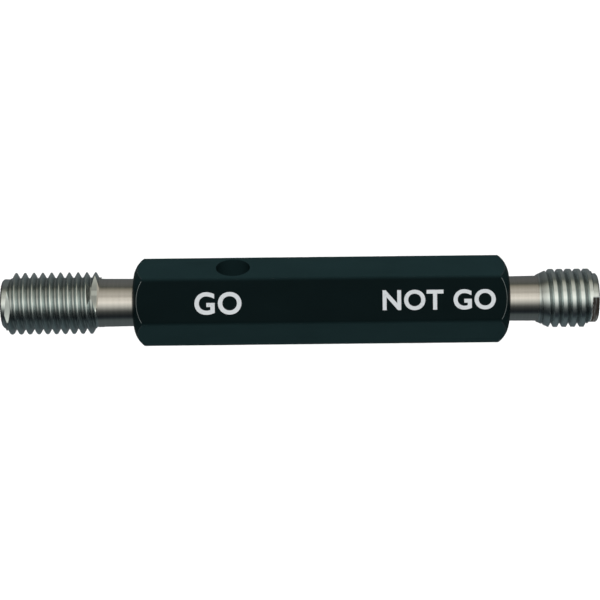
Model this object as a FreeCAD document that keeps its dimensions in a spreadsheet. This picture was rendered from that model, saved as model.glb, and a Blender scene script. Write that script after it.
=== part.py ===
import FreeCAD, Part
import math
import os
import Sketcher
from FreeCAD import Vector

# Double-ended screw plug gauge, M14 x 2: a GO and a NOT GO gauging plug with taper
# shanks, seated in the two reamed ends of one hexagonal aluminium handle.
#
# The threaded lengths stand here at their outside diameters, with the planes that blunt
# both ends of the thread. The helical grooves are left to the visual model.
#
# The gauge lies along X on one flat of its handle, GO plug at -X, NOT GO plug at +X.
# Z = 0 is that flat and X = 0 is the middle of the handle. Lengths are millimetres.

SIZES = [
    # handle
    ("handle_length", 84.6, "end face to end face"),
    ("across_flats", 17.46, "hexagon bar, 11/16 inch"),
    ("corner_radius", 1.15, "rounding along the six corners of the bar"),
    ("end_radius", 5.5, "convex turned form at each end"),
    ("end_land", 0.03, "flat rim between the GO socket's mouth and the end radius"),
    ("socket_depth", 17.8, "reamed taper in each end"),
    ("pilot_bore", 3.5, "drilled right through, so that air and a knock-out rod can pass"),
    ("drift_hole", 7.65, "cross hole behind the GO shank"),
    ("drift_from_end", 22.55, "centre of the cross hole, from the GO end face"),
    # shared by both plugs
    ("taper_length", 48.0, "length over which a shank loses 1 mm of diameter"),
    ("taper_gap", 0.01, "radial gap between a shank and its socket"),
    ("shank_end_gap", 0.4, "from the inner end of a shank to the bottom of its socket"),
    ("shank_break", 0.4, "chamfer on the inner end of a shank"),
    ("centre_mouth", 3.2, "mouth of the centre hole in a gauging face"),
    ("centre_drill", 1.6, "pilot at the bottom of a centre hole"),
    ("centre_depth", 3.2, "depth of a centre hole to the end of its pilot"),
    # GO plug, lengths from its gauging face
    ("go_major", 14.0, "outside diameter, full form"),
    ("go_thread_length", 21.95, "length of the threaded part"),
    ("go_ring", 11.16, "plain ring ahead of the blunt start"),
    ("go_ring_break", 0.4, "chamfer on the front edge of the ring"),
    ("go_start_cut", 1.34, "plane of the blunt start, on the axis"),
    ("go_start_slope", 0.112, "lean of that plane"),
    ("go_start_turn", 0.0, "direction of the lean about the axis, in degrees"),
    ("go_finish_cut", 21.5, "plane that ends the last turn, on the axis"),
    ("go_finish_slope", 0.186, "lean of that plane"),
    ("go_finish_turn", -69.0, "direction of the lean about the axis, in degrees"),
    ("go_finish_land", 11.66, "plain land where the last turn is cut down"),
    ("go_collar", 10.98, "collar behind the thread"),
    ("go_collar_length", 0.9, "length of the collar"),
    ("go_neck", 10.9, "large end of the taper shank"),
    ("go_neck_length", 6.85, "taper that stands out of the handle"),
    # NOT GO plug, lengths from its gauging face
    ("notgo_major", 13.2, "outside diameter, truncated"),
    ("notgo_thread_length", 13.65, "length of the threaded part"),
    ("notgo_ring", 11.04, "plain ring ahead of the blunt start"),
    ("notgo_ring_break", 0.3, "chamfer on the front edge of the ring"),
    ("notgo_start_cut", 1.72, "plane of the blunt start, on the axis"),
    ("notgo_start_slope", 0.095, "lean of that plane"),
    ("notgo_start_turn", 0.0, "direction of the lean about the axis, in degrees"),
    ("notgo_back_small", 10.7, "small end of the cone behind the thread"),
    ("notgo_back_cone", 2.7, "length of that cone"),
    ("notgo_neck", 10.22, "large end of the taper shank"),
    ("notgo_neck_length", 6.4, "taper that stands out of the handle"),
]

CUT_REACH = 1.0     # how far a cutting profile stands out past the face that it opens
TOOL_RADIUS = 12.0  # a cutting profile reaches out to here, past every outside surface
FACE_LAND = 0.2     # ring left plain all round, ahead of the lowest point of a blunt start
DRILL_TIP = 0.6     # depth of a drill's point over its radius

doc = FreeCAD.newDocument("ThreadPlugGauge")
sheet = doc.addObject("Spreadsheet::Sheet", "Sizes")
for row, (alias, value, note) in enumerate(SIZES, start=1):
    sheet.set(f"A{row}", alias)
    sheet.set(f"B{row}", str(value))
    sheet.set(f"C{row}", note)
    sheet.setAlias(f"B{row}", alias)
doc.recompute()


class Dim:
    """A length or ratio from the sheet: its number now, and the expression that binds it."""

    def __init__(self, value, text):
        self.value = value
        self.text = text

    def __add__(self, other):
        return combine(self, "+", other)

    def __sub__(self, other):
        return combine(self, "-", other)

    def __mul__(self, other):
        return combine(self, "*", other)

    def __truediv__(self, other):
        return combine(self, "/", other)

    def __neg__(self):
        return Dim(-self.value, f"(-{self.text})")


def combine(first, sign, second):
    """Two Dims, or a Dim and a number, joined in value and in expression."""
    a, b = [x if isinstance(x, Dim) else Dim(x, repr(x)) for x in (first, second)]
    value = {
        "+": a.value + b.value,
        "-": a.value - b.value,
        "*": a.value * b.value,
        "/": a.value / (b.value or 1.0),
    }[sign]
    return Dim(value, f"({a.text} {sign} {b.text})")


def size(alias):
    """A named size."""
    return Dim(float(sheet.get(alias)), f"Sizes.{alias}")


def tangent(angle):
    """Tangent of an angle in degrees."""
    return Dim(math.tan(math.radians(angle.value)), f"tan({angle.text} * 1deg)")


ZERO = Dim(0.0, "0")
TAPER = combine(0.5, "/", size("taper_length"))  # loss of radius for each millimetre
AXIS_HEIGHT = size("across_flats") / 2
HALF_HANDLE = size("handle_length") / 2


def origin_part(body, role):
    """The origin plane or axis of a body that has this role."""
    return next(part for part in body.Origin.OriginFeatures if part.Role == role)


def new_body(label):
    """An empty body whose X axis is the axis of the gauge."""
    body = doc.addObject("PartDesign::Body", label)
    body.Label = label
    return body


def add_sketch(body, name, plane="XY_Plane", turn=None, shift=None):
    """An empty sketch on an origin plane, turned about its own first axis and moved along it."""
    sketch = body.newObject("Sketcher::SketchObject", name)
    sketch.AttachmentSupport = [(origin_part(body, plane), "")]
    sketch.MapMode = "FlatFace"
    angle = turn.value if turn else 0.0
    along = shift.value if shift else 0.0
    rotation = FreeCAD.Rotation(Vector(1, 0, 0), angle)
    sketch.AttachmentOffset = FreeCAD.Placement(Vector(along, 0, 0), rotation)
    if turn:
        sketch.setExpression(".AttachmentOffset.Rotation.Angle", turn.text)
    if shift:
        sketch.setExpression(".AttachmentOffset.Base.x", shift.text)
    return sketch


def bind(sketch, name, constraint, text):
    """Add a constraint under a name and bind it to an expression."""
    index = sketch.addConstraint(constraint)
    sketch.renameConstraint(index, name)
    sketch.setExpression(f"Constraints.{name}", text)


def pin(sketch, name, curve, point, place):
    """Hold a point of a curve at a place given by two Dims."""
    x, y = place
    bind(sketch, f"{name}_x", Sketcher.Constraint("DistanceX", -1, 1, curve, point, x.value), x.text)
    bind(sketch, f"{name}_y", Sketcher.Constraint("DistanceY", -1, 1, curve, point, y.value), y.text)


def add_outline(body, name, places, **where):
    """A sketch with one closed outline of straight sides through the places."""
    sketch = add_sketch(body, name, **where)
    corners = [Vector(x.value, y.value, 0) for x, y in places]
    count = len(corners)
    for i in range(count):
        sketch.addGeometry(Part.LineSegment(corners[i], corners[(i + 1) % count]))
    for i in range(count):
        sketch.addConstraint(Sketcher.Constraint("Coincident", i, 2, (i + 1) % count, 1))
        pin(sketch, f"corner{i}", i, 1, places[i])
    return sketch


def add_circle(body, name, diameter, **where):
    """A sketch with one circle about its origin."""
    sketch = add_sketch(body, name, **where)
    sketch.addGeometry(Part.Circle(Vector(0, 0, 0), Vector(0, 0, 1), diameter.value / 2))
    sketch.addConstraint(Sketcher.Constraint("Coincident", 0, 3, -1, 1))
    bind(sketch, "diameter", Sketcher.Constraint("Diameter", 0, diameter.value), diameter.text)
    return sketch


def turned(body, name, sketch, kind="Revolution"):
    """The sketch turned once round the body's X axis, added or cut."""
    feature = body.newObject(f"PartDesign::{kind}", name)
    feature.Profile = sketch
    feature.ReferenceAxis = (origin_part(body, "X_Axis"), [""])
    feature.Angle = 360
    doc.recompute()
    return feature


def cut_through(body, name, sketch):
    """The sketch cut right through the body, both ways."""
    pocket = body.newObject("PartDesign::Pocket", name)
    pocket.Profile = sketch
    pocket.Type = "ThroughAll"
    pocket.SideType = "Symmetric"
    doc.recompute()
    return pocket


def leaning_plane(body, name, far, plane, slope, turn):
    """Cut away everything between x = far and a plane that crosses the axis at x = plane."""
    lean = slope * TOOL_RADIUS
    up = Dim(TOOL_RADIUS, repr(TOOL_RADIUS))
    places = [(far, -up), (plane - lean, -up), (plane + lean, up), (far, up)]
    cut_through(body, name, add_outline(body, f"{name}_outline", places, turn=turn))


def centre_hole(body):
    """A 60 degree centre hole with a drilled pilot, in the gauging face."""
    mouth = size("centre_mouth") / 2
    drill = size("centre_drill") / 2
    ahead = Dim(-CUT_REACH, repr(-CUT_REACH))
    depth = size("centre_depth")
    cone = tangent(Dim(30.0, "30"))
    places = [
        (ahead, ZERO),
        (depth + drill * DRILL_TIP, ZERO),
        (depth, drill),
        ((mouth - drill) / cone, drill),
        (ahead, mouth + cone * CUT_REACH),
    ]
    sketch = add_outline(body, f"{body.Name}_centre_profile", places)
    turned(body, f"{body.Name}_centre_hole", sketch, "Groove")


def shank_places(start, neck, neck_length):
    """The taper shank's outline from its large end back to its inner end, on the axis."""
    length = neck_length + size("socket_depth") - size("shank_end_gap")
    end = start + length
    chamfer = size("shank_break")
    end_radius = neck / 2 - TAPER * length
    return [
        (start, neck / 2),
        (end - chamfer, end_radius + TAPER * chamfer),
        (end, end_radius - chamfer),
        (end, ZERO),
    ]


def socket_mouth(neck, neck_length):
    """Radius of a socket where it opens in the handle's end face."""
    return neck / 2 - TAPER * neck_length + size("taper_gap")


def build_go_plug():
    """GO plug: full-form thread, blunt at both ends, collar and taper shank."""
    body = new_body("go_plug")
    length = size("go_thread_length")
    major = size("go_major")
    ring = size("go_ring") / 2
    chamfer = size("go_ring_break")
    start_cut, start_slope = size("go_start_cut"), size("go_start_slope")
    finish_cut, finish_slope = size("go_finish_cut"), size("go_finish_slope")
    face = Dim(FACE_LAND, repr(FACE_LAND))
    blank = [(face, ZERO), (length, ZERO), (length, major / 2), (face, major / 2)]
    turned(body, "go_plug_blank", add_outline(body, "go_plug_blank_profile", blank))

    front = Dim(-CUT_REACH, repr(-CUT_REACH))
    behind = length + TOOL_RADIUS
    leaning_plane(body, "go_plug_start", front, start_cut, start_slope, size("go_start_turn"))
    leaning_plane(
        body, "go_plug_finish", behind, finish_cut, finish_slope, size("go_finish_turn")
    )

    land_start = finish_cut - finish_slope * (major / 2)
    land = size("go_finish_land") / 2
    collar = size("go_collar") / 2
    collar_end = length + size("go_collar_length")
    core = [
        (ZERO, ZERO),
        (ZERO, ring - chamfer),
        (chamfer, ring),
        (land_start, ring),
        (land_start, land),
        (length, land),
        (length, collar),
        (collar_end, collar),
    ]
    core += shank_places(collar_end, size("go_neck"), size("go_neck_length"))
    turned(body, "go_plug_core", add_outline(body, "go_plug_core_profile", core))
    centre_hole(body)

    standing_out = collar_end + size("go_neck_length")
    body.setExpression(".Placement.Base.x", (-HALF_HANDLE - standing_out).text)
    body.setExpression(".Placement.Base.z", AXIS_HEIGHT.text)
    return body


def build_not_go_plug():
    """NOT GO plug: short truncated thread with a cone behind it, and taper shank."""
    body = new_body("not_go_plug")
    length = size("notgo_thread_length")
    major = size("notgo_major")
    ring = size("notgo_ring") / 2
    chamfer = size("notgo_ring_break")
    cone_start = length - size("notgo_back_cone")
    face = Dim(FACE_LAND, repr(FACE_LAND))
    blank = [
        (face, ZERO),
        (length, ZERO),
        (length, size("notgo_back_small") / 2),
        (cone_start, major / 2),
        (face, major / 2),
    ]
    turned(body, "not_go_plug_blank", add_outline(body, "not_go_plug_blank_profile", blank))

    front = Dim(-CUT_REACH, repr(-CUT_REACH))
    start_cut, start_slope = size("notgo_start_cut"), size("notgo_start_slope")
    leaning_plane(
        body, "not_go_plug_start", front, start_cut, start_slope, size("notgo_start_turn")
    )

    neck, neck_length = size("notgo_neck"), size("notgo_neck_length")
    core = [
        (ZERO, ZERO),
        (ZERO, ring - chamfer),
        (chamfer, ring),
        (cone_start, ring),
        (cone_start, neck / 2),
    ]
    core += shank_places(length, neck, neck_length)
    turned(body, "not_go_plug_core", add_outline(body, "not_go_plug_core_profile", core))
    centre_hole(body)

    body.Placement.Rotation = FreeCAD.Rotation(Vector(0, 0, 1), 180)
    body.setExpression(".Placement.Base.x", (HALF_HANDLE + length + neck_length).text)
    body.setExpression(".Placement.Base.z", AXIS_HEIGHT.text)
    return body


def hexagon(body):
    """Sketch of the bar's section, with two corners at the sides and a flat underneath."""
    corner = size("across_flats") / 2 / Dim(math.cos(math.radians(30)), "cos(30deg)")
    half_flat = size("across_flats") / 2
    half_side = corner / 2
    places = [
        (corner, ZERO),
        (half_side, half_flat),
        (-half_side, half_flat),
        (-corner, ZERO),
        (-half_side, -half_flat),
        (half_side, -half_flat),
    ]
    return add_outline(body, "bar_section", places, plane="YZ_Plane")


def round_corners(body, pad):
    """Round the six long edges of the bar."""
    long_edges = [
        f"Edge{i}"
        for i, edge in enumerate(pad.Shape.Edges, start=1)
        if abs(edge.BoundBox.XLength - edge.Length) < 1e-6
    ]
    fillet = body.newObject("PartDesign::Fillet", "bar_corners")
    fillet.Base = (pad, long_edges)
    fillet.Radius = size("corner_radius").value
    fillet.setExpression("Radius", size("corner_radius").text)
    doc.recompute()


def turn_end_form(body):
    """Turn both ends of the bar to a convex radius that starts beside the socket's mouth."""
    radius = size("end_radius")
    rim = socket_mouth(size("go_neck"), size("go_neck_length")) + size("end_land")
    centre = (HALF_HANDLE - radius, rim)
    up = Dim(TOOL_RADIUS, repr(TOOL_RADIUS))
    out = HALF_HANDLE + CUT_REACH
    places = [(centre[0], rim + radius), (centre[0], up), (out, up), (out, rim), (HALF_HANDLE, rim)]
    corners = [Vector(x.value, y.value, 0) for x, y in places]
    sketch = add_sketch(body, "end_form_profile")
    sides = len(places) - 1
    for i in range(sides):
        sketch.addGeometry(Part.LineSegment(corners[i], corners[i + 1]))
    circle = Part.Circle(Vector(centre[0].value, rim.value, 0), Vector(0, 0, 1), radius.value)
    arc = sketch.addGeometry(Part.ArcOfCircle(circle, 0, math.pi / 2))
    for i in range(sides):
        pin(sketch, f"corner{i}", i, 1, places[i])
        follower, point = (i + 1, 1) if i + 1 < sides else (arc, 1)
        sketch.addConstraint(Sketcher.Constraint("Coincident", i, 2, follower, point))
    sketch.addConstraint(Sketcher.Constraint("Coincident", arc, 2, 0, 1))
    pin(sketch, "rim", arc, 1, places[sides])
    bind(sketch, "arc_radius", Sketcher.Constraint("Radius", arc, radius.value), radius.text)
    return turned(body, "end_form", sketch, "Groove")


def ream_socket(body, name, side, neck, neck_length):
    """Taper socket in one end, side = 1 for +X and -1 for -X."""
    mouth = socket_mouth(neck, neck_length)
    depth = size("socket_depth")
    out = (HALF_HANDLE + CUT_REACH) * side
    inner = (HALF_HANDLE - depth) * side
    places = [
        (out, ZERO),
        (inner, ZERO),
        (inner, mouth - TAPER * depth),
        (out, mouth + TAPER * CUT_REACH),
    ]
    turned(body, name, add_outline(body, f"{name}_profile", places), "Groove")


def build_handle():
    """Hexagonal handle: turned ends, two taper sockets, pilot bore and drift hole."""
    body = new_body("handle")
    pad = body.newObject("PartDesign::Pad", "bar")
    pad.Profile = hexagon(body)
    pad.SideType = "Symmetric"
    pad.setExpression("Length", size("handle_length").text)
    doc.recompute()
    round_corners(body, pad)

    form = turn_end_form(body)
    both = body.newObject("PartDesign::Mirrored", "end_forms")
    both.Originals = [form]
    both.MirrorPlane = (origin_part(body, "YZ_Plane"), [""])
    body.Tip = both
    doc.recompute()

    ream_socket(body, "go_socket", -1, size("go_neck"), size("go_neck_length"))
    ream_socket(body, "not_go_socket", 1, size("notgo_neck"), size("notgo_neck_length"))
    cut_through(body, "pilot", add_circle(body, "pilot_circle", size("pilot_bore"), plane="YZ_Plane"))
    drift = add_circle(
        body,
        "drift_circle",
        size("drift_hole"),
        plane="XZ_Plane",
        turn=Dim(30.0, "30"),
        shift=size("drift_from_end") - HALF_HANDLE,
    )
    cut_through(body, "drift", drift)
    body.setExpression(".Placement.Base.z", AXIS_HEIGHT.text)
    return body


def check(bodies):
    """Stop if any object failed or any body is not one valid solid."""
    doc.recompute()
    for item in doc.Objects:
        if {"Invalid", "Error"} & set(item.State):
            raise RuntimeError(f"{item.Name} is {item.State}")
    for body in bodies:
        shape = body.Shape
        if shape.isNull() or not shape.isValid() or len(shape.Solids) != 1:
            raise RuntimeError(f"{body.Label} is not one valid solid")


def main():
    """Build the three pieces, check them and write each to its own file."""
    bodies = [build_handle(), build_go_plug(), build_not_go_plug()]
    check(bodies)
    os.makedirs("parts", exist_ok=True)
    for body in bodies:
        body.Shape.exportStep(f"parts/{body.Label}.step")
        print(f"{body.Label}: {body.Shape.Volume / 1000:.2f} cm3, {len(body.Shape.Faces)} faces")


main()
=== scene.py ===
"""Visual model of a double-ended M14 x 2 thread plug gauge.

The handle is the frame's own solid, dressed with a material. Each gauging plug is built
here, because its helical thread is cut only in this file, and the two printed marks lie on
the top flat of the handle. The plugs are built in a frame of their own, with the origin at
the gauging face and +x towards the shank. Lengths are metres.
"""

import logging
import math
from dataclasses import dataclass
from enum import Enum
from typing import Union

import bmesh
import bpy
from mathutils import Matrix, Vector


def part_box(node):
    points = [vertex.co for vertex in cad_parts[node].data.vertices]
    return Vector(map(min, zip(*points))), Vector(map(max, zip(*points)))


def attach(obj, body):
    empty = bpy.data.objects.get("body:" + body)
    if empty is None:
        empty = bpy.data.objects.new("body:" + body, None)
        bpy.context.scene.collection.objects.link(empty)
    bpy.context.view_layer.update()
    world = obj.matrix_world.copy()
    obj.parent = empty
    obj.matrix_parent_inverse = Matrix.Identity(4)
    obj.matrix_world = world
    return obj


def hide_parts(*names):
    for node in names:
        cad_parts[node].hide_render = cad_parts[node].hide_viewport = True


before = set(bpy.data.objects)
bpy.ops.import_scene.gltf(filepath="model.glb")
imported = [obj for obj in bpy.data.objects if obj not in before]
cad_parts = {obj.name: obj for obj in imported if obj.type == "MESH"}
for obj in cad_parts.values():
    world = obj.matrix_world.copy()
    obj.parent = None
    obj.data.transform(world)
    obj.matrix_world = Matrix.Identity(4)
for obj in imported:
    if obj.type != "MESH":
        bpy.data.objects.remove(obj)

MM = 0.001
SEGMENTS = 144          # columns round every turned or threaded surface
THREAD_HALF_ANGLE = math.radians(30)
TAPER = 0.5 / 48        # radius lost for each unit of length along a shank
CUT_TOLERANCE = 1e-8    # how near a corner has to be to count as on a cutting plane
CAP_SHARE = 0.7         # height of a capital for each unit of the font's size

log = logging.getLogger("thread_plug_gauge")

Number = Union[int, float]
Colour = tuple[float, float, float]
Place = tuple[float, float]


class Slot(Enum):
    """Names of material slots."""

    HANDLE = "black_anodised"
    GO = "go_steel"
    NOT_GO = "not_go_steel"


class Shader(Enum):
    """Node types that the finishes use."""

    PRINCIPLED = "ShaderNodeBsdfPrincipled"
    MATH = "ShaderNodeMath"
    VECTOR_MATH = "ShaderNodeVectorMath"
    MIX = "ShaderNodeMix"
    NOISE = "ShaderNodeTexNoise"
    COORDINATES = "ShaderNodeTexCoord"
    SPLIT = "ShaderNodeSeparateXYZ"
    JOIN = "ShaderNodeCombineXYZ"
    RANGE = "ShaderNodeMapRange"
    RAMP = "ShaderNodeValToRGB"
    BUMP = "ShaderNodeBump"
    BACKGROUND = "ShaderNodeBackground"
    LIGHT_PATH = "ShaderNodeLightPath"
    MATERIAL_OUTPUT = "ShaderNodeOutputMaterial"
    WORLD_OUTPUT = "ShaderNodeOutputWorld"


class Value:
    """A socket that carries a number, and the sums that can be written with it."""

    def __init__(self, graph: "Graph", socket: bpy.types.NodeSocket) -> None:
        """Keep the graph that the socket is in and the socket itself."""
        self.graph = graph
        self.socket = socket

    def _sum(self, operation: str, *terms: Union["Value", Number]) -> "Value":
        """Add one Math node.

        Args:
            operation: the node's operation.
            terms: its inputs in order.

        Returns:
            The node's result.
        """
        inputs = dict(enumerate(terms))
        return self.graph.value(Shader.MATH, {"operation": operation}, inputs)

    def __add__(self, other: Union["Value", Number]) -> "Value":
        """Sum of the two."""
        return self._sum("ADD", self, other)

    def __radd__(self, other: Number) -> "Value":
        """Sum of the two."""
        return self._sum("ADD", other, self)

    def __sub__(self, other: Union["Value", Number]) -> "Value":
        """This less the other."""
        return self._sum("SUBTRACT", self, other)

    def __rsub__(self, other: Number) -> "Value":
        """The other less this."""
        return self._sum("SUBTRACT", other, self)

    def __mul__(self, other: Union["Value", Number]) -> "Value":
        """Product of the two."""
        return self._sum("MULTIPLY", self, other)

    def __rmul__(self, other: Number) -> "Value":
        """Product of the two."""
        return self._sum("MULTIPLY", other, self)

    def __abs__(self) -> "Value":
        """Size without sign."""
        return self._sum("ABSOLUTE", self)

    def root(self) -> "Value":
        """Square root."""
        return self._sum("SQRT", self)

    def larger(self, other: Union["Value", Number]) -> "Value":
        """The larger of the two."""
        return self._sum("MAXIMUM", self, other)

    def smaller(self, other: Union["Value", Number]) -> "Value":
        """The smaller of the two."""
        return self._sum("MINIMUM", self, other)

    def angle(self, other: "Value") -> "Value":
        """Angle whose tangent is this over the other, in radians."""
        return self._sum("ARCTAN2", self, other)

    def ease(self, low: Number, high: Number) -> "Value":
        """Smooth step from 0 at low to 1 at high, either of which may be the larger."""
        limits = {"Value": self, "From Min": low, "From Max": high}
        return self.graph.value(Shader.RANGE, {"interpolation_type": "SMOOTHSTEP"}, limits)


class Graph:
    """The node tree of one material or of the world."""

    def __init__(self, tree: bpy.types.NodeTree) -> None:
        """Empty the tree and keep it."""
        tree.nodes.clear()
        self.tree = tree

    def node(
        self, kind: Shader, settings: dict[str, object], inputs: dict[object, object]
    ) -> bpy.types.Node:
        """Add any node.

        Args:
            kind: the node's type.
            settings: properties that are set before the sockets; "stops" are a ramp's stops.
            inputs: a value or a link for each socket, by name or by index.

        Returns:
            The node.
        """
        made = self.tree.nodes.new(kind.value)
        for name, setting in settings.items():
            if name == "stops":
                self._set_stops(made.color_ramp, setting)
            else:
                setattr(made, name, setting)
        for key, given in inputs.items():
            source = given.socket if isinstance(given, Value) else given
            if isinstance(source, bpy.types.NodeSocket):
                self.tree.links.new(source, made.inputs[key])
            else:
                made.inputs[key].default_value = source
        return made

    @staticmethod
    def _set_stops(ramp: bpy.types.ColorRamp, stops: list[tuple[float, Colour]]) -> None:
        """Give a ramp these stops, each a position and a colour."""
        while len(ramp.elements) < len(stops):
            ramp.elements.new(1.0)
        for element, (position, colour) in zip(ramp.elements, stops):
            element.position = position
            element.color = (*colour, 1.0)

    def value(
        self, kind: Shader, settings: dict[str, object], inputs: dict[object, object]
    ) -> Value:
        """Add a node and take its first output as a number."""
        return Value(self, self.node(kind, settings, inputs).outputs[0])

    def place(self) -> tuple[Value, Value, Value]:
        """The surface point's x, y and z in the frame of the object."""
        source = self.node(Shader.COORDINATES, {}, {}).outputs["Object"]
        split = self.node(Shader.SPLIT, {}, {0: source})
        return tuple(Value(self, split.outputs[axis]) for axis in range(3))

    def vector(
        self, x: Union[Value, Number], y: Union[Value, Number], z: Union[Value, Number]
    ) -> bpy.types.NodeSocket:
        """Three numbers as one vector."""
        return self.node(Shader.JOIN, {}, {0: x, 1: y, 2: z}).outputs[0]

    def noise(
        self, where: bpy.types.NodeSocket, detail: Number = 2.0, roughness: Number = 0.5
    ) -> Value:
        """Noise of unit scale at a place that is already stretched as the pattern needs."""
        inputs = {"Vector": where, "Scale": 1.0, "Detail": detail, "Roughness": roughness}
        return self.value(Shader.NOISE, {}, inputs)

    def blend(
        self,
        share: Union[Value, Number],
        first: Union[Colour, bpy.types.NodeSocket],
        second: Union[Colour, bpy.types.NodeSocket],
    ) -> bpy.types.NodeSocket:
        """Colour that goes from the first to the second as the share goes from 0 to 1.

        Args:
            share: how much of the second colour shows.
            first: colour where the share is 0.
            second: colour where the share is 1.

        Returns:
            The mixed colour.
        """
        rgb = [(*c, 1.0) if isinstance(c, tuple) else c for c in (first, second)]
        mixed = self.node(Shader.MIX, {"data_type": "RGBA"}, {0: share, 6: rgb[0], 7: rgb[1]})
        return mixed.outputs[2]

    def scaled(
        self, colour: Union[Colour, bpy.types.NodeSocket], factor: Value
    ) -> bpy.types.NodeSocket:
        """The colour made lighter or darker by a factor."""
        inputs = {0: colour, "Scale": factor}
        return self.node(Shader.VECTOR_MATH, {"operation": "SCALE"}, inputs).outputs[0]

    def bump(self, height: Value, depth: Number) -> bpy.types.NodeSocket:
        """Normal disturbed by a height from 0 to 1 that stands for this depth."""
        made = self.node(Shader.BUMP, {}, {"Height": height, "Distance": depth, "Strength": 1.0})
        return made.outputs[0]


def new_material(name: str) -> tuple[bpy.types.Material, Graph]:
    """An empty material and the graph of its nodes."""
    material = bpy.data.materials.new(name)
    material.use_nodes = True
    return material, Graph(material.node_tree)


def finish_surface(graph: Graph, **sockets: object) -> None:
    """End a material's graph in one principled shader with these sockets."""
    inputs = {name.replace("_", " ").title(): given for name, given in sockets.items()}
    if "Specular Ior Level" in inputs:
        inputs["Specular IOR Level"] = inputs.pop("Specular Ior Level")
    shader = graph.node(Shader.PRINCIPLED, {}, inputs)
    graph.node(Shader.MATERIAL_OUTPUT, {}, {"Surface": shader.outputs[0]})


@dataclass(frozen=True)
class GroundSteel:
    """Hardened gauge steel, ground round and round, with painted shade in the thread's roots, a
    painted highlight on its crests, and a patch of dark stain if it has one.
    """

    name: str
    face_x: float            # place of the gauging face along the axis
    inward: float            # +1 if the shank lies towards +X, -1 if towards -X
    axis_height: float
    thread_end: float        # length of the threaded part
    core: float              # radius of the ring ahead of the thread
    major: float             # radius of the crests
    shank_colour: Colour = (0.66, 0.645, 0.62)
    thread_colour: Colour = (0.68, 0.745, 0.75)
    roughness: float = 0.15
    stained: bool = False
    stain_colour: Colour = (0.012, 0.0095, 0.0075)
    crest_highlight: float = 0.5      # painted highlight: how much lighter the crests are than the roots
    groove_shade: float = 0.34   # how much darker the roots are than plain steel

    def build(self) -> bpy.types.Material:
        """Make the material.

        Returns:
            The material, which varies in colour, roughness and bump over the plug.
        """
        material, graph = new_material(self.name)
        x, y, z = graph.place()
        up = z - self.axis_height
        depth = (x - self.face_x) * self.inward
        fine = graph.noise(graph.vector(x * 9000, y * 90, up * 90), 3.0, 0.6)
        broad = graph.noise(graph.vector(x * 1800, y * 60, up * 60), 2.0)
        smear = graph.noise(graph.vector(x * 160, y * 160, up * 160), 3.0, 0.6)
        threaded = depth.ease(self.thread_end, self.thread_end - 0.4 * MM)
        colour = graph.blend(threaded, self.shank_colour, self.thread_colour)
        shade = 0.84 + 0.16 * broad + 0.14 * fine
        radius = (y * y + up * up).root()
        groove = radius.ease(self.core + 0.02 * MM, self.core + 0.08 * MM)
        raised = radius.ease(self.core, self.major)
        # painted shade darkens the thread's roots and a painted highlight lightens its crests
        painted_shade_and_highlight = 1.0 + threaded * groove * (self.crest_highlight * raised - self.groove_shade)
        colour = graph.scaled(colour, shade * (0.92 + 0.14 * smear) * painted_shade_and_highlight)
        rough = self.roughness + 0.10 * (broad - 0.5) + 0.12 * (smear - 0.5) + 0.05 * threaded
        metallic: Union[Value, Number] = 1.0
        if self.stained:
            stain = self._stain(graph, x, y, up, depth)
            colour = graph.blend(stain, colour, self.stain_colour)
            rough = rough + stain * 0.35
            metallic = 1.0 - 0.85 * stain
        finish_surface(
            graph,
            base_color=colour,
            metallic=metallic,
            roughness=rough.larger(0.08),
            normal=graph.bump(fine + broad * 0.5, 0.003 * MM),
        )
        return material

    def _stain(self, graph: Graph, x: Value, y: Value, up: Value, depth: Value) -> Value:
        """Share of dark etched stain on the ring ahead of the thread.

        Args:
            graph: the material's graph.
            x: place along the axis.
            y: place across the gauge.
            up: height over the axis.
            depth: distance from the gauging face.

        Returns:
            1 where the steel is stained and 0 where it is clean.
        """
        streaks = graph.noise(graph.vector(x * 5200, y * 260, up * 260), 3.0, 0.6)
        edge = graph.noise(graph.vector(x * 300, y * 1900, up * 1900), 3.0)
        reach = (1.62 + 0.9 * (edge - 0.5)) * MM
        along = (reach - depth).ease(-0.04 * MM, 0.08 * MM)
        around = (0.0 - y).angle(up)
        facing = around.ease(-0.06, 0.02) * around.ease(1.75, 1.5)
        radius = (y * y + up * up).root() + (edge - 0.5) * (1.2 * MM)
        rim = radius.ease(self.core - 1.1 * MM, self.core - 0.5 * MM)
        return along * facing * rim * (0.86 + 0.14 * streaks.ease(0.34, 0.5))


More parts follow.
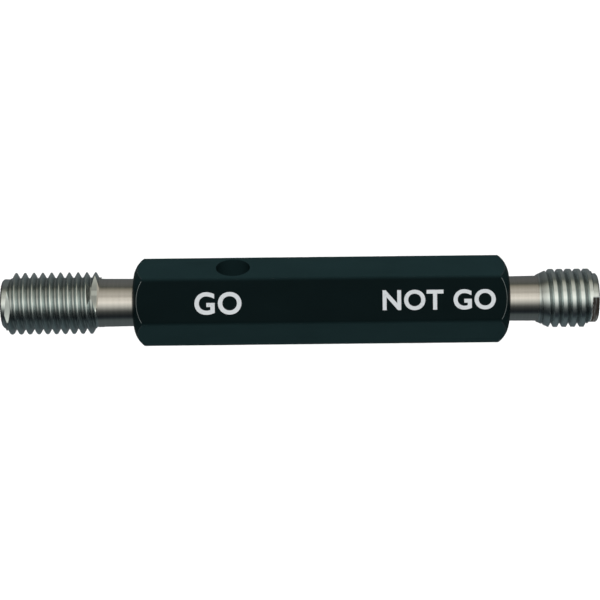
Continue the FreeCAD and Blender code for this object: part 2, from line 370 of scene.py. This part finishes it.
@dataclass(frozen=True)
class BlackAnodise:
    """Black anodised bar with fine drawn lines, turned ends and a painted highlight along the
    turned edge.
    """

    axis_height: float
    half_length: float
    end_radius: float = 5.5 * MM
    rim: float = 5.42 * MM       # radius at which the end form starts
    colour: Colour = (0.0026, 0.0061, 0.0065)
    # colour of the painted highlight along the turned edge
    highlight_colour: Colour = (0.26, 0.31, 0.33)

    def build(self) -> bpy.types.Material:
        """Make the material.

        Returns:
            The material, which varies in colour, roughness and bump over the handle.
        """
        material, graph = new_material("black_anodised_bar")
        x, y, z = graph.place()
        up = z - self.axis_height
        drawn = graph.noise(graph.vector(x * 60, y * 3500, up * 3500), 2.0)
        grain = graph.noise(graph.vector(x * 6000, y * 6000, up * 6000), 2.0, 0.6)
        cloud = graph.noise(graph.vector(x * 90, y * 140, up * 140), 3.0, 0.55)
        radius = (y * y + up * up).root()
        turned_from_end = (abs(x) - (self.half_length - self.end_radius)).larger(0.0)
        square = self.end_radius**2 - turned_from_end * turned_from_end
        form = self.rim + square.larger(0.0).root()
        flat = self._flat_distance(y, up)
        on_flat = flat.ease(self.axis_height - 0.05 * MM, self.axis_height - 0.01 * MM)
        # painted highlight: a thin pale metallic line where each turned end meets the flats
        highlight_line = abs(form - radius).ease(0.12 * MM, 0.03 * MM) * on_flat
        tone = graph.scaled(self.colour, 0.75 + 0.35 * cloud + 0.2 * grain)
        painted_highlight = (highlight_line * (0.45 + 0.6 * cloud)).smaller(1.0)
        finish_surface(
            graph,
            base_color=graph.blend(painted_highlight, tone, self.highlight_colour),
            metallic=(highlight_line * 4.0).smaller(1.0),
            roughness=0.18 + 0.08 * (cloud - 0.5) + 0.06 * (drawn - 0.5) + 0.10 * painted_highlight,
            specular_ior_level=0.01,
            normal=graph.bump(grain + drawn * 0.6, 0.0015 * MM),
        )
        return material

    @staticmethod
    def _flat_distance(y: Value, up: Value) -> Value:
        """Distance from the axis measured square to the nearest pair of flats."""
        across = y * math.cos(math.radians(30))
        rise = up * math.sin(math.radians(30))
        return abs(up).larger(abs(across + rise)).larger(abs(across - rise))


@dataclass(frozen=True)
class SilverPrint:
    """Silver grey ink, a little uneven."""

    colour: Colour = (0.50, 0.525, 0.54)
    worn_colour: Colour = (0.12, 0.14, 0.14)     # where the ink is thin

    def build(self) -> bpy.types.Material:
        """Make the material."""
        material, graph = new_material("silver_print")
        x, y, z = graph.place()
        speckle = graph.noise(graph.vector(x * 4000, y * 4000, z * 4000), 3.0, 0.6)
        patch = graph.noise(graph.vector(x * 500, y * 500, z * 500), 2.0)
        thin = (0.62 * speckle + 0.38 * patch).ease(0.42, 0.30)
        finish_surface(
            graph,
            base_color=graph.blend(thin * 0.6, self.colour, self.worn_colour),
            roughness=0.55 + 0.2 * (speckle - 0.5),
            specular_ior_level=0.2,
            normal=graph.bump(speckle, 0.004 * MM),
        )
        return material


@dataclass(frozen=True)
class PaleFloor:
    """Plain pale board that the gauge lies on."""

    colour: Colour = (0.93, 0.93, 0.93)

    def build(self) -> bpy.types.Material:
        """Make the material."""
        material, graph = new_material("pale_floor")
        x, y, z = graph.place()
        tooth = graph.noise(graph.vector(x * 900, y * 900, z), 3.0)
        shade = self.colour[0] * 0.97
        finish_surface(
            graph,
            base_color=graph.blend(tooth, (shade, shade, shade), self.colour),
            roughness=0.85,
            specular_ior_level=0.1,
            normal=graph.bump(tooth, 0.01 * MM),
        )
        return material


def mesh_object(name: str, bm: bmesh.types.BMesh, sharp: float = 28.0) -> bpy.types.Object:
    """Turn a bmesh into an object that is shaded smooth between its sharp edges.

    Args:
        name: the piece's name.
        bm: the mesh, which is freed.
        sharp: angle in degrees over which an edge stays sharp.

    Returns:
        The object, linked to the scene.
    """
    bmesh.ops.recalc_face_normals(bm, faces=bm.faces)
    mesh = bpy.data.meshes.new(name)
    bm.to_mesh(mesh)
    bm.free()
    mesh.shade_smooth()
    mesh.set_sharp_from_angle(angle=math.radians(sharp))
    made = bpy.data.objects.new(name, mesh)
    bpy.context.scene.collection.objects.link(made)
    return made


def soften(points: list[Place], edge: float) -> list[Place]:
    """Break every corner of a turned outline with a small chamfer.

    Args:
        points: the outline, as (place along the axis, radius).
        edge: how far each break reaches along the sides beside it.

    Returns:
        The outline with its corners broken, its two ends unchanged.
    """
    made = [points[0]]
    for before, corner, after in zip(points, points[1:], points[2:]):
        here = Vector(corner)
        for other in (before, after):
            side = Vector(other) - here
            step = min(edge, side.length * 0.3)
            made.append(tuple(here + side.normalized() * step))
    made.append(points[-1])
    return made


def add_turned(bm: bmesh.types.BMesh, points: list[Place]) -> None:
    """Turn an outline that starts and ends on the axis into a closed solid.

    Args:
        bm: the mesh that takes it.
        points: the outline, as (place along the axis, radius).
    """
    tips = [bm.verts.new((x, 0.0, 0.0)) for x, _ in (points[0], points[-1])]
    rings = []
    for x, radius in points[1:-1]:
        angles = [2 * math.pi * i / SEGMENTS for i in range(SEGMENTS)]
        ring = [bm.verts.new((x, radius * math.cos(a), radius * math.sin(a))) for a in angles]
        rings.append(ring)
    for first, second in zip(rings, rings[1:]):
        for i in range(SEGMENTS):
            j = (i + 1) % SEGMENTS
            bm.faces.new((first[i], first[j], second[j], second[i]))
    for tip, ring in zip(tips, (rings[0], rings[-1])):
        for i in range(SEGMENTS):
            bm.faces.new((tip, ring[i], ring[(i + 1) % SEGMENTS]))


@dataclass(frozen=True)
class LeaningPlane:
    """A plane that crosses the axis at one place and leans one way about it."""

    crossing: float
    slope: float = 0.0
    turn: float = 0.0      # direction of the lean about the axis, in degrees

    def normal(self) -> Vector:
        """Unit normal, pointing towards the shank."""
        angle = math.radians(self.turn)
        lean = (math.cos(angle) * self.slope, math.sin(angle) * self.slope)
        return Vector((1.0, -lean[0], -lean[1])).normalized()

    def trim(self, bm: bmesh.types.BMesh, keep_front: bool) -> None:
        """Cut a tube round the axis at this plane and close the cut.

        Args:
            bm: a mesh that holds nothing but the tube.
            keep_front: True to keep the side towards the gauging face.
        """
        middle = Vector((self.crossing, 0.0, 0.0))
        geometry = bm.verts[:] + bm.edges[:] + bm.faces[:]
        cut = bmesh.ops.bisect_plane(
            bm,
            geom=geometry,
            dist=CUT_TOLERANCE,
            plane_co=middle,
            plane_no=self.normal(),
            clear_outer=keep_front,
            clear_inner=not keep_front,
        )
        rim = [e for e in cut["geom_cut"] if isinstance(e, bmesh.types.BMEdge) and e.is_boundary]
        tip = bm.verts.new(middle)
        for edge in rim:
            bm.faces.new((*edge.verts, tip))


@dataclass(frozen=True)
class GroundFlat:
    """A flat ground on one ridge, to take off the feather edge where the thread ends."""

    distance: float        # from the axis
    facing: float          # direction it faces about the axis, in degrees from +y to +z
    turn: int              # turn of the thread that it is on, counted from the first crest
    reach: float = math.radians(75)

    def radius(self, ridge: float) -> float:
        """Largest radius that the flat leaves at a place along the ridge.

        Args:
            ridge: the place in turns from the first crest.

        Returns:
            The radius, which is infinite where the flat does not reach.
        """
        away = 2 * math.pi * (ridge - self.turn) - math.radians(self.facing)
        return self.distance / math.cos(away) if abs(away) < self.reach else math.inf


@dataclass(frozen=True)
class Thread:
    """Right-hand 60 degree thread between two planes."""

    major: float           # outside radius
    crest_flat: float
    first_crest: float     # middle of a whole crest on the +y side of the plug's own frame
    length: float
    start: LeaningPlane
    finish: LeaningPlane
    root: float = 0.0      # radius of a flat groove floor, or 0 for a sharp groove
    back_cone: float = 0.0     # length of a cone that runs down behind the thread
    back_small: float = 0.0    # radius of its small end
    flats: tuple[GroundFlat, ...] = ()
    pitch: float = 2.0 * MM
    edge: float = 0.035 * MM   # rounding of the crest's edges
    flank_rows: int = 11       # rows of faces down each flank
    back_overrun: float = 1.2  # where the cone stops, as a share of its length

    def _profile(self) -> list[Place]:
        """One pitch of the thread's section.

        Returns:
            Places as (distance along the axis, radius) from the middle of one crest up to,
            and without, the middle of the next.
        """
        half_crest = self.crest_flat / 2
        half_groove = self.pitch / 2 - half_crest
        deepest = self.major - half_groove / math.tan(THREAD_HALF_ANGLE) + self.edge
        floor = max(self.root, deepest)
        run = (self.major - floor) * math.tan(THREAD_HALF_ANGLE)
        down = [(0.0, self.major), (half_crest - self.edge, self.major)]
        first = self.edge / (self.major - floor)
        for row in range(self.flank_rows + 1):
            share = first + (1.0 - first) * row / self.flank_rows
            down.append((half_crest + run * share, self.major - (self.major - floor) * share))
        up = [(self.pitch - along, radius) for along, radius in reversed(down[1:])]
        return down + up

    def _cone_radius(self, along: float) -> float:
        """Largest radius that the cone behind the thread leaves at a place."""
        if not self.back_cone:
            return self.major
        share = (along - (self.length - self.back_cone)) / self.back_cone
        return self.major - (self.major - self.back_small) * min(max(share, 0.0), self.back_overrun)

    def add(self, bm: bmesh.types.BMesh) -> None:
        """Add the threaded part, closed at both ends.

        Args:
            bm: an empty mesh.
        """
        profile = self._profile()
        lead_in = math.ceil(self.first_crest / self.pitch) + 2
        turns = lead_in + math.ceil((self.length - self.first_crest) / self.pitch) + 2
        start = self.first_crest - lead_in * self.pitch
        columns = []
        for i in range(turns * SEGMENTS + 1):
            angle = 2 * math.pi * i / SEGMENTS
            base = start + self.pitch * i / SEGMENTS
            column = []
            for along, radius in profile:
                place = base + along
                ridge = i / SEGMENTS - lead_in + round(along / self.pitch)
                limits = [flat.radius(ridge) for flat in self.flats]
                reach = min(radius, self._cone_radius(place), *limits)
                corner = (place, reach * math.cos(angle), reach * math.sin(angle))
                column.append(bm.verts.new(corner))
            columns.append(column)
        rows = len(profile)
        for i in range(len(columns) - 1 - SEGMENTS):
            this, following = columns[i], columns[i + 1]
            after = [columns[i + SEGMENTS][0], columns[i + SEGMENTS + 1][0]]
            for j in range(rows):
                near = this[j + 1] if j + 1 < rows else after[0]
                far = following[j + 1] if j + 1 < rows else after[1]
                bm.faces.new((this[j], following[j], far, near))
        self.start.trim(bm, keep_front=False)
        self.finish.trim(bm, keep_front=True)
        bmesh.ops.delete(bm, geom=[v for v in bm.verts if not v.link_faces], context="VERTS")


@dataclass(frozen=True)
class CentreHole:
    """60 degree centre hole with a drilled pilot."""

    mouth: float = 1.6 * MM
    drill: float = 0.8 * MM
    depth: float = 3.2 * MM
    tip: float = 0.48 * MM

    def outline(self) -> list[Place]:
        """Places from the drill's tip on the axis out to the mouth."""
        cone = (self.mouth - self.drill) / math.tan(THREAD_HALF_ANGLE)
        return [
            (self.depth + self.tip, 0.0),
            (self.depth, self.drill),
            (cone, self.drill),
            (0.0, self.mouth),
        ]


@dataclass(frozen=True)
class Shank:
    """Taper shank from where it leaves the thread's core to its inner end."""

    large: float           # radius at the large end
    standing_out: float
    depth: float = 17.4 * MM
    chamfer: float = 0.4 * MM

    def outline(self, start: float) -> list[Place]:
        """Places from the large end back to the axis at the inner end."""
        length = self.standing_out + self.depth
        small = self.large - TAPER * length
        end = start + length
        return [
            (start, self.large),
            (end - self.chamfer, small + TAPER * self.chamfer),
            (end, small - self.chamfer),
            (end, 0.0),
        ]


@dataclass(frozen=True)
class Plug:
    """What the two gauging plugs share."""

    name: str
    node: str
    slot: Slot
    thread: Thread
    shank: Shank
    ring: float            # radius of the plain ring ahead of the thread
    ring_chamfer: float
    inward: float          # +1 if the shank lies towards +X, -1 if towards -X
    centre: CentreHole = CentreHole()
    broken_edge: float = 0.05 * MM

    def _front(self) -> list[Place]:
        """Outline of the centre hole, the gauging face and the ring's front edge."""
        chamfer = self.ring_chamfer
        return self.centre.outline() + [(0.0, self.ring - chamfer), (chamfer, self.ring)]

    def _core(self) -> list[Place]:
        """Outline of everything but the thread."""
        raise NotImplementedError

    def face_x(self) -> float:
        """Place of the gauging face along the gauge, from the frame's own solid."""
        low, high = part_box(self.node)
        return low.x if self.inward > 0 else high.x

    def axis_height(self) -> float:
        """Height of the gauge's axis over the floor."""
        low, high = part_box(self.node)
        return (low.z + high.z) / 2

    def build(self, stained: bool) -> bpy.types.Object:
        """Make the plug, dress it and put it in place of the frame's solid.

        Args:
            stained: True if its front ring carries dark stain.

        Returns:
            The finished piece.
        """
        bm = bmesh.new()
        self.thread.add(bm)
        add_turned(bm, soften(self._core(), self.broken_edge))
        piece = mesh_object(self.name, bm)
        turn = Matrix.Rotation(0.0 if self.inward > 0 else math.pi, 4, "Z")
        place = Matrix.Translation((self.face_x(), 0.0, self.axis_height()))
        piece.data.transform(place @ turn)
        steel = GroundSteel(
            name=self.name + "_ground_steel",
            face_x=self.face_x(),
            inward=self.inward,
            axis_height=self.axis_height(),
            thread_end=self.thread.length,
            core=self.ring,
            major=self.thread.major,
            stained=stained,
        )
        piece.data.materials.append(steel.build())
        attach(piece, "root")
        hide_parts(self.node)
        return piece


@dataclass(frozen=True)
class GoPlug(Plug):
    """GO plug: its last turn is cut down to the collar behind it."""

    collar: float = 5.49 * MM
    collar_length: float = 0.9 * MM

    def _core(self) -> list[Place]:
        """Outline of everything but the thread."""
        finish = self.thread.finish
        land_start = finish.crossing - finish.slope * self.thread.major
        collar_end = self.thread.length + self.collar_length
        return self._front() + [
            (land_start, self.ring),
            (land_start, self.collar),
            (collar_end, self.collar),
            *self.shank.outline(collar_end),
        ]


@dataclass(frozen=True)
class NotGoPlug(Plug):
    """NOT GO plug: short, truncated, with a cone behind the thread."""

    def _core(self) -> list[Place]:
        """Outline of everything but the thread."""
        cone_start = self.thread.length - self.thread.back_cone
        return self._front() + [
            (cone_start, self.ring),
            (cone_start, self.shank.large),
            *self.shank.outline(self.thread.length),
        ]


def make_go_plug() -> GoPlug:
    """The GO plug with all its sizes."""
    thread = Thread(
        major=7.0 * MM,
        crest_flat=0.25 * MM,
        root=5.775 * MM,
        first_crest=3.0 * MM,
        length=21.95 * MM,
        start=LeaningPlane(1.34 * MM, 0.112),
        finish=LeaningPlane(21.68 * MM, 0.111, 29.0),
        flats=(
            GroundFlat(5.86 * MM, 96.0, -1),
            GroundFlat(5.6 * MM, 67.0, 9),
        ),
    )
    return GoPlug(
        name="go_gauging_plug",
        node="go_plug",
        slot=Slot.GO,
        thread=thread,
        shank=Shank(large=5.45 * MM, standing_out=6.85 * MM),
        ring=5.58 * MM,
        ring_chamfer=0.4 * MM,
        inward=1.0,
    )


def make_not_go_plug() -> NotGoPlug:
    """The NOT GO plug with all its sizes."""
    length = 13.65 * MM
    thread = Thread(
        major=6.6 * MM,
        crest_flat=0.84 * MM,
        first_crest=3.41 * MM,
        length=length,
        start=LeaningPlane(1.72 * MM, 0.095),
        finish=LeaningPlane(length),
        back_cone=2.7 * MM,
        back_small=5.35 * MM,
    )
    return NotGoPlug(
        name="not_go_gauging_plug",
        node="not_go_plug",
        slot=Slot.NOT_GO,
        thread=thread,
        shank=Shank(large=5.11 * MM, standing_out=6.4 * MM),
        ring=5.52 * MM,
        ring_chamfer=0.3 * MM,
        inward=-1.0,
    )


@dataclass(frozen=True)
class Handle:
    """The hexagonal handle: the frame's own solid with its finish."""

    node: str = "handle"

    def dress(self) -> bpy.types.Object:
        """Give the solid its material.

        Returns:
            The frame's object.
        """
        low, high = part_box(self.node)
        anodise = BlackAnodise(axis_height=(low.z + high.z) / 2, half_length=high.x)
        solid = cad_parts[self.node]
        solid.data.materials.clear()
        solid.data.materials.append(anodise.build())
        return solid

    def top(self) -> float:
        """Height of the flat that faces up."""
        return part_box(self.node)[1].z


@dataclass(frozen=True)
class Mark:
    """A printed word on the top flat."""

    name: str
    word: str
    middle: Place
    cap_height: float
    weight: float = 0.16 * MM      # how far the strokes are fattened
    film: float = 0.012 * MM       # thickness of the ink
    spacing: float = 1.08

    def build(self, flat_height: float, ink: bpy.types.Material) -> bpy.types.Object:
        """Lay the word on the flat.

        Args:
            flat_height: height of the flat.
            ink: the print's material.

        Returns:
            The finished piece.
        """
        text = bpy.data.curves.new(self.name + "_outline", "FONT")
        text.body = self.word
        text.size = self.cap_height / CAP_SHARE
        text.offset = self.weight
        text.space_character = self.spacing
        text.extrude = self.film / 2
        text.resolution_u = 8
        holder = bpy.data.objects.new(self.name + "_outline", text)
        bpy.context.scene.collection.objects.link(holder)
        bpy.context.view_layer.update()
        mesh = bpy.data.meshes.new_from_object(holder)
        bpy.data.objects.remove(holder)
        mesh.name = self.name
        xs = [v.co.x for v in mesh.vertices]
        ys = [v.co.y for v in mesh.vertices]
        shift = Vector(
            (
                self.middle[0] - (min(xs) + max(xs)) / 2,
                self.middle[1] - (min(ys) + max(ys)) / 2,
                flat_height,
            )
        )
        mesh.transform(Matrix.Translation(shift))
        mesh.materials.clear()
        mesh.materials.append(ink)
        piece = bpy.data.objects.new(self.name, mesh)
        bpy.context.scene.collection.objects.link(piece)
        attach(piece, "root")
        return piece


@dataclass(frozen=True)
class Studio:
    """Floor, light and camera."""

    floor_half: float = 1.6
    far_light: float = 12.2        # strength of the side light towards +Y
    near_light: float = 8.6        # strength of the side light towards -Y
    light_height: float = 10.0     # degrees over the floor
    light_spread: float = 20.0     # degrees that a side light covers in the sky
    end_dimming: float = 0.6       # how much darker the dome is low down at the gauge's ends
    matt_dimming: float = 0.9      # how much darker the dome is for matt surfaces
    camera_distance: float = 0.40
    camera_roll: float = 0.62      # degrees
    aim: tuple[float, float, float] = (-4.78 * MM, 0.16 * MM, 8.73 * MM)
    view_width: float = 136.05 * MM    # width of the view at the aim
    sensor_width: float = 36.0     # of the camera, in millimetres
    nearest: float = 0.05          # distance at which the camera starts to see

    def build_floor(self) -> bpy.types.Object:
        """Lay the floor under the gauge."""
        bm = bmesh.new()
        bmesh.ops.create_grid(bm, x_segments=8, y_segments=8, size=self.floor_half)
        floor = mesh_object("pale_floor", bm)
        floor.data.materials.append(PaleFloor().build())
        floor.visible_glossy = False
        return floor

    def _add_side_light(self, name: str, strength: float, side: float) -> None:
        """Add a low soft light that reaches matt surfaces only and throws no shadow.

        Args:
            name: the light's name.
            strength: its strength.
            side: 1 to stand towards +Y and -1 towards -Y.
        """
        lamp = bpy.data.lights.new(name, "SUN")
        lamp.energy = strength
        lamp.angle = math.radians(self.light_spread)
        lamp.use_shadow = False
        holder = bpy.data.objects.new(name, lamp)
        holder.rotation_euler = (-side * math.radians(90.0 - self.light_height), 0.0, 0.0)
        holder.visible_glossy = False
        bpy.context.scene.collection.objects.link(holder)

    def build_lights(self) -> None:
        """Light the gauge from both sides and put a soft studio dome round it."""
        self._add_side_light("far_light", self.far_light, 1.0)
        self._add_side_light("near_light", self.near_light, -1.0)
        world = bpy.data.worlds.new("studio")
        world.use_nodes = True
        bpy.context.scene.world = world
        graph = Graph(world.node_tree)
        source = graph.node(Shader.COORDINATES, {}, {}).outputs["Generated"]
        split = graph.node(Shader.SPLIT, {}, {0: source})
        along, side, height = (Value(graph, split.outputs[i]) for i in range(3))
        turn = side.angle(height) * (0.5 / math.pi) + 0.5
        stops = [(0.5 + degrees / 360, colour) for degrees, colour in self._dome()]
        sky = graph.node(Shader.RAMP, {"stops": stops}, {0: turn})
        ends = abs(along).ease(0.35, 0.75) * height.ease(0.5, 0.1)
        path = graph.node(Shader.LIGHT_PATH, {}, {})
        matt = Value(graph, path.outputs["Is Diffuse Ray"])
        level = (1.0 - self.end_dimming * ends) * (1.0 - self.matt_dimming * matt)
        dome = graph.node(Shader.BACKGROUND, {}, {0: sky.outputs[0], 1: level})
        graph.node(Shader.WORLD_OUTPUT, {}, {0: dome.outputs[0]})

    @staticmethod
    def _dome() -> list[tuple[float, Colour]]:
        """Light of the studio by angle from overhead, in degrees towards +Y."""
        return [
            (-179.0, (0.10, 0.115, 0.12)),
            (-106.0, (0.095, 0.115, 0.12)),
            (-91.0, (0.08, 0.10, 0.10)),
            (-80.0, (0.029, 0.038, 0.043)),
            (-70.0, (0.012, 0.016, 0.019)),
            (-56.0, (0.032, 0.037, 0.038)),
            (-44.0, (0.07, 0.075, 0.072)),
            (-36.0, (0.16, 0.165, 0.155)),
            (-27.0, (0.37, 0.375, 0.345)),
            (-18.0, (0.64, 0.635, 0.58)),
            (-8.0, (0.88, 0.87, 0.79)),
            (1.0, (1.12, 1.07, 0.97)),
            (11.0, (0.92, 0.88, 0.79)),
            (20.0, (0.90, 0.86, 0.77)),
            (30.0, (0.56, 0.53, 0.46)),
            (40.0, (0.62, 0.59, 0.52)),
            (51.0, (0.50, 0.475, 0.405)),
            (62.0, (0.38, 0.36, 0.30)),
            (72.0, (0.22, 0.21, 0.17)),
            (79.0, (0.105, 0.11, 0.095)),
            (92.0, (0.13, 0.135, 0.125)),
            (106.0, (0.14, 0.145, 0.14)),
            (179.0, (0.12, 0.135, 0.14)),
        ]

    def build_camera(self) -> bpy.types.Object:
        """Stand the camera over the gauge.

        Returns:
            The camera.
        """
        roll = math.radians(self.camera_roll)
        data = bpy.data.cameras.new("camera")
        data.sensor_width = self.sensor_width
        data.lens = self.sensor_width * self.camera_distance / self.view_width
        data.clip_start = self.nearest
        camera = bpy.data.objects.new("camera", data)
        camera.location = Vector(self.aim) + Vector((0.0, 0.0, self.camera_distance))
        camera.rotation_euler = (0.0, 0.0, -roll)
        bpy.context.scene.collection.objects.link(camera)
        bpy.context.scene.camera = camera
        return camera

    def set_tone(self) -> None:
        """Show light levels as they are."""
        bpy.context.scene.view_settings.view_transform = "Standard"


def main() -> None:
    """Build the gauge piece by piece, then the studio round it."""
    logging.basicConfig(level=logging.INFO)
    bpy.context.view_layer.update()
    handle = Handle()
    log.info("handle: %s", handle.dress().name)
    go_plug = make_go_plug().build(stained=False)
    log.info("GO plug: %d faces", len(go_plug.data.polygons))
    not_go_plug = make_not_go_plug().build(stained=True)
    log.info("NOT GO plug: %d faces", len(not_go_plug.data.polygons))
    ink = SilverPrint().build()
    marks = [
        Mark("mark_go", "GO", (-23.0 * MM, -0.4 * MM), 4.7 * MM),
        Mark("mark_not_go", "NOT GO", (26.1 * MM, -0.1 * MM), 4.2 * MM),
    ]
    for mark in marks:
        log.info("mark: %s", mark.build(handle.top(), ink).name)
    studio = Studio()
    studio.build_floor()
    studio.build_lights()
    studio.build_camera()
    studio.set_tone()
    log.info("studio: floor, lights and camera")


if __name__ == "__main__":
    main()
